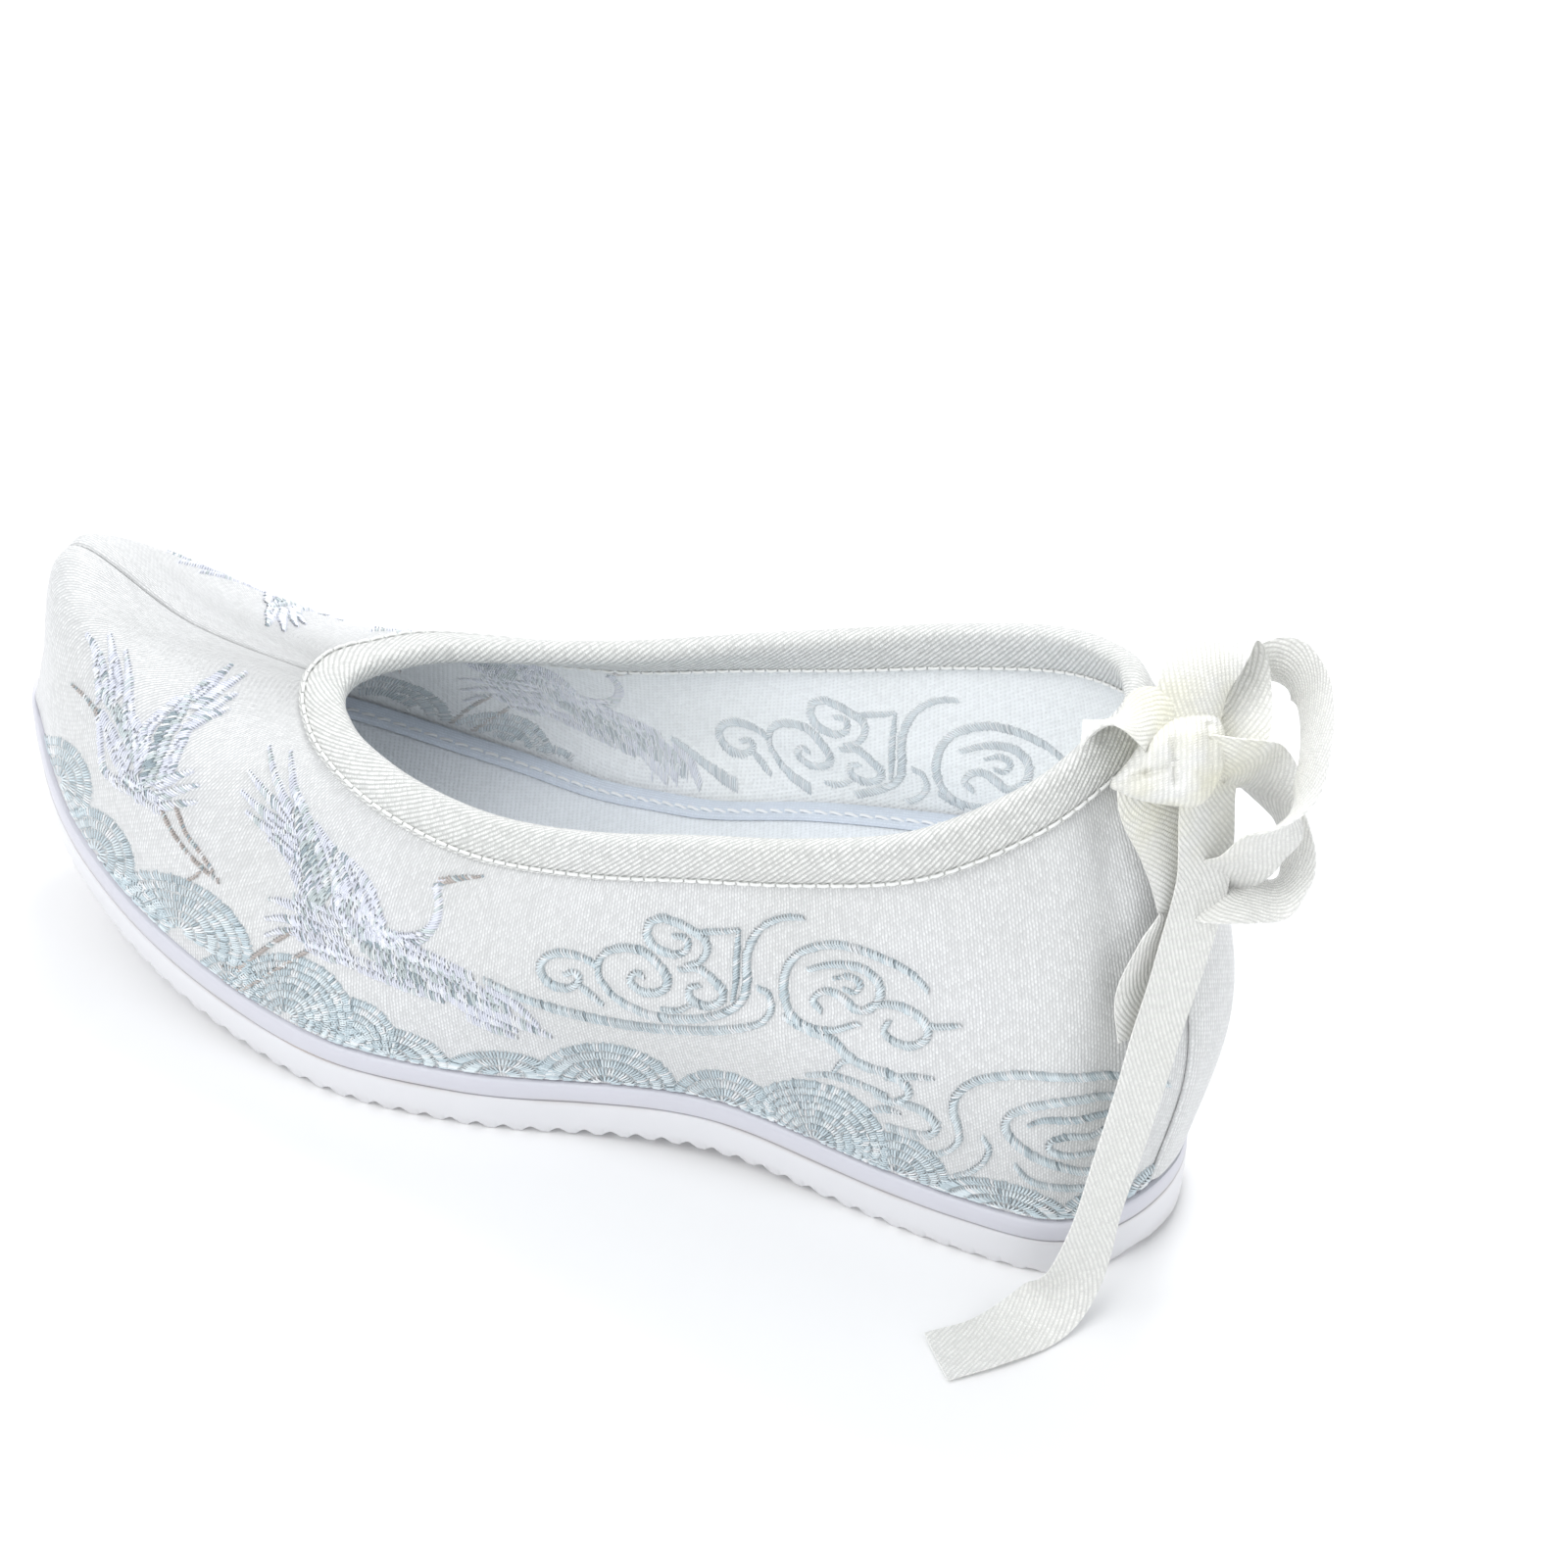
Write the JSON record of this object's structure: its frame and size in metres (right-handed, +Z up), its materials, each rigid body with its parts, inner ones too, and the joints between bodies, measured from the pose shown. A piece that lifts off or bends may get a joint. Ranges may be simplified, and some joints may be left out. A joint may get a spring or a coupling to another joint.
{
  "type": "embroidered cloth shoe",
  "caption": "Slip-on cloth shoe with an upturned prow toe, bound collar, ribbed sole, wedge insole and a ribbon bow at the heel.",
  "frame": {"origin": "on the floor under the middle of the shoe's length and width, the ribbon left out", "axes": "+X from heel to toe, +Y to the wearer's left (the outer side of this left shoe), +Z up"},
  "size_m": [0.2674, 0.0984, 0.1314],
  "materials": {
    "outsole": "satin moulded rubber, milky white with a lilac cast",
    "upper": "white satin with raised silk embroidery",
    "back_strip": "plain white satin strip",
    "collar_binding": "white twill tape",
    "insole": "grey-white canvas",
    "insole_binding": "pale blue tape",
    "ribbon": "warm white twill ribbon"
  },
  "bodies": {
    "root": {"outsole": "outsole", "upper": "upper", "back_strip": "back_strip", "collar_binding": "collar_binding", "insole": "insole", "insole_binding": "insole_binding", "ribbon_tie": "ribbon", "ribbon_knot": "ribbon", "ribbon_loop_top": "ribbon", "ribbon_loop_back": "ribbon", "ribbon_loop_low": "ribbon", "ribbon_tail_long": "ribbon", "ribbon_tail_short": "ribbon"}
  },
  "joints": []
}
